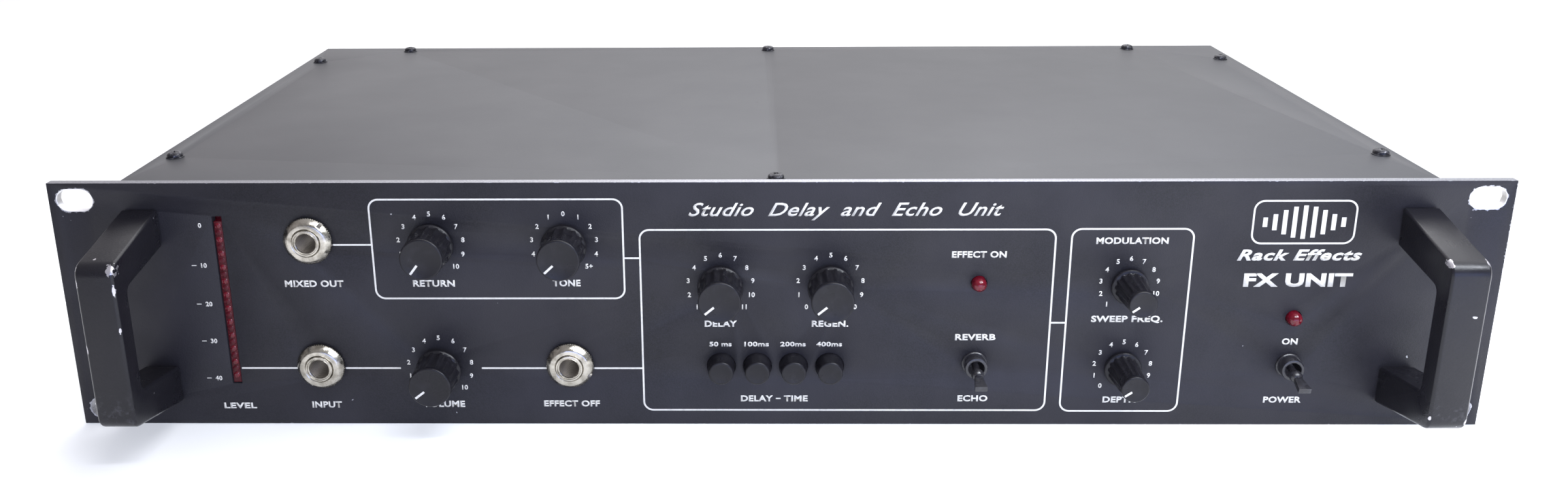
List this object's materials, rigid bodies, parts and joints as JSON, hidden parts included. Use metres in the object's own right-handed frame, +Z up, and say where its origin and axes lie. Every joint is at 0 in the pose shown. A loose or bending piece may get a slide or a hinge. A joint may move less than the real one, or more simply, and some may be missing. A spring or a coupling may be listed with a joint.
{
  "type": "rack effects unit",
  "caption": "Rack-mount effects unit: black front panel with ears and bow handles, rotary knobs, push buttons, toggle switches, jack sockets and a bar level meter on a flat metal chassis.",
  "frame": {"origin": "middle of the whole unit's footprint, on the surface it stands on", "axes": "+X to the right seen from the front, +Y from the front panel to the rear, +Z up"},
  "size_m": [0.4826, 0.2706, 0.0889],
  "materials": {
    "panel_paint": "satin black stove paint on aluminium plate, worn to bare metal at its edges",
    "handle_paint": "satin black paint on cast aluminium, chipped along the grip",
    "cover_paint": "smooth mid-grey metallic paint on steel sheet, lightly scratched",
    "chassis_sheet": "zinc-plated steel sheet",
    "screw_steel": "blackened steel",
    "knob_plastic": "moulded black plastic, satin",
    "button_plastic": "moulded black plastic, glossy at its rounded rim",
    "switch_plastic": "moulded black nylon",
    "nickel_nut": "bright nickel plate",
    "nickel_jack": "bright nickel plate",
    "lamp_lens": "transparent red moulded lens",
    "meter_lens": "transparent dark red moulded lenses",
    "control_metal": "plated steel",
    "board_laminate": "green glass-epoxy laminate",
    "core_iron": "lacquered core plates",
    "inlet_plastic": "moulded black plastic"
  },
  "bodies": {
    "chassis": {"bottom_cover": "cover_paint", "cover_screw_front_middle": "screw_steel", "cover_screw_left_front": "screw_steel", "cover_screw_left_rear": "screw_steel", "cover_screw_rear_left": "screw_steel", "cover_screw_rear_middle": "screw_steel", "cover_screw_rear_right": "screw_steel", "cover_screw_right_front": "screw_steel", "cover_screw_right_rear": "screw_steel", "delay_switch_bank": "control_metal", "front_panel": "panel_paint", "fuse_holder": "inlet_plastic", "handle_left": "handle_paint", "handle_right": "handle_paint", "jack_effect_off": "nickel_jack", "jack_input": "nickel_jack", "jack_mixed_out": "nickel_jack", "jack_nut_effect_off": "nickel_nut", "jack_nut_input": "nickel_nut", "jack_nut_mixed_out": "nickel_nut", "lamp_effect": "lamp_lens", "lamp_power": "lamp_lens", "level_meter": "meter_lens", "main_board": "board_laminate", "mains_inlet": "inlet_plastic", "mains_transformer": "core_iron", "pot_body_delay": "control_metal", "pot_body_depth": "control_metal", "pot_body_regen": "control_metal", "pot_body_return": "control_metal", "pot_body_sweep": "control_metal", "pot_body_tone": "control_metal", "pot_body_volume": "control_metal", "rear_output_jack": "nickel_jack", "rear_panel": "chassis_sheet", "side_frame_left": "chassis_sheet", "side_frame_right": "chassis_sheet", "toggle_body_mode": "switch_plastic", "toggle_body_power": "switch_plastic", "top_cover": "cover_paint"},
    "control_return": {"knob_return": "knob_plastic", "pot_shaft_return": "control_metal"},
    "control_tone": {"knob_tone": "knob_plastic", "pot_shaft_tone": "control_metal"},
    "control_volume": {"knob_volume": "knob_plastic", "pot_shaft_volume": "control_metal"},
    "control_delay": {"knob_delay": "knob_plastic", "pot_shaft_delay": "control_metal"},
    "control_regen": {"knob_regen": "knob_plastic", "pot_shaft_regen": "control_metal"},
    "control_sweep": {"knob_sweep": "knob_plastic", "pot_shaft_sweep": "control_metal"},
    "control_depth": {"knob_depth": "knob_plastic", "pot_shaft_depth": "control_metal"},
    "button_50": {"delay_button_50": "button_plastic"},
    "button_100": {"delay_button_100": "button_plastic"},
    "button_200": {"delay_button_200": "button_plastic"},
    "button_400": {"delay_button_400": "button_plastic"},
    "lever_mode": {"toggle_lever_mode": "switch_plastic"},
    "lever_power": {"toggle_lever_power": "switch_plastic"}
  },
  "joints": [
    {"name": "turn_return", "type": "hinge", "parent": "chassis", "child": "control_return", "pos_m": [-0.1149, -0.10075, 0.0662], "axis": [0, 1, 0], "range_deg": [0, 280]},
    {"name": "turn_tone", "type": "hinge", "parent": "chassis", "child": "control_tone", "pos_m": [-0.0702, -0.10075, 0.0662], "axis": [0, 1, 0], "range_deg": [0, 280]},
    {"name": "turn_volume", "type": "hinge", "parent": "chassis", "child": "control_volume", "pos_m": [-0.1149, -0.10075, 0.0215], "axis": [0, 1, 0], "range_deg": [0, 280]},
    {"name": "turn_delay", "type": "hinge", "parent": "chassis", "child": "control_delay", "pos_m": [-0.0182, -0.10075, 0.0515], "axis": [0, 1, 0], "range_deg": [0, 280]},
    {"name": "turn_regen", "type": "hinge", "parent": "chassis", "child": "control_regen", "pos_m": [0.0187, -0.10075, 0.0515], "axis": [0, 1, 0], "range_deg": [0, 280]},
    {"name": "turn_sweep", "type": "hinge", "parent": "chassis", "child": "control_sweep", "pos_m": [0.1185, -0.10075, 0.0515], "axis": [0, 1, 0], "range_deg": [0, 280]},
    {"name": "turn_depth", "type": "hinge", "parent": "chassis", "child": "control_depth", "pos_m": [0.1185, -0.10075, 0.0214], "axis": [0, 1, 0], "range_deg": [0, 280]},
    {"name": "press_50", "type": "slide", "parent": "chassis", "child": "button_50", "axis": [0, 1, 0], "range_m": [0, 0.003], "stiffness_N_per_m": 250, "springref_m": -0.002},
    {"name": "press_100", "type": "slide", "parent": "chassis", "child": "button_100", "axis": [0, 1, 0], "range_m": [0, 0.003], "stiffness_N_per_m": 250, "springref_m": -0.002},
    {"name": "press_200", "type": "slide", "parent": "chassis", "child": "button_200", "axis": [0, 1, 0], "range_m": [0, 0.003], "stiffness_N_per_m": 250, "springref_m": -0.002},
    {"name": "press_400", "type": "slide", "parent": "chassis", "child": "button_400", "axis": [0, 1, 0], "range_m": [0, 0.003], "stiffness_N_per_m": 250, "springref_m": -0.002},
    {"name": "flip_mode", "type": "hinge", "parent": "chassis", "child": "lever_mode", "pos_m": [0.0682, -0.10255, 0.0232], "axis": [-1, 0, 0], "range_deg": [0, 22]},
    {"name": "flip_power", "type": "hinge", "parent": "chassis", "child": "lever_power", "pos_m": [0.1746, -0.10255, 0.0226], "axis": [-1, 0, 0], "range_deg": [0, 22]}
  ]
}
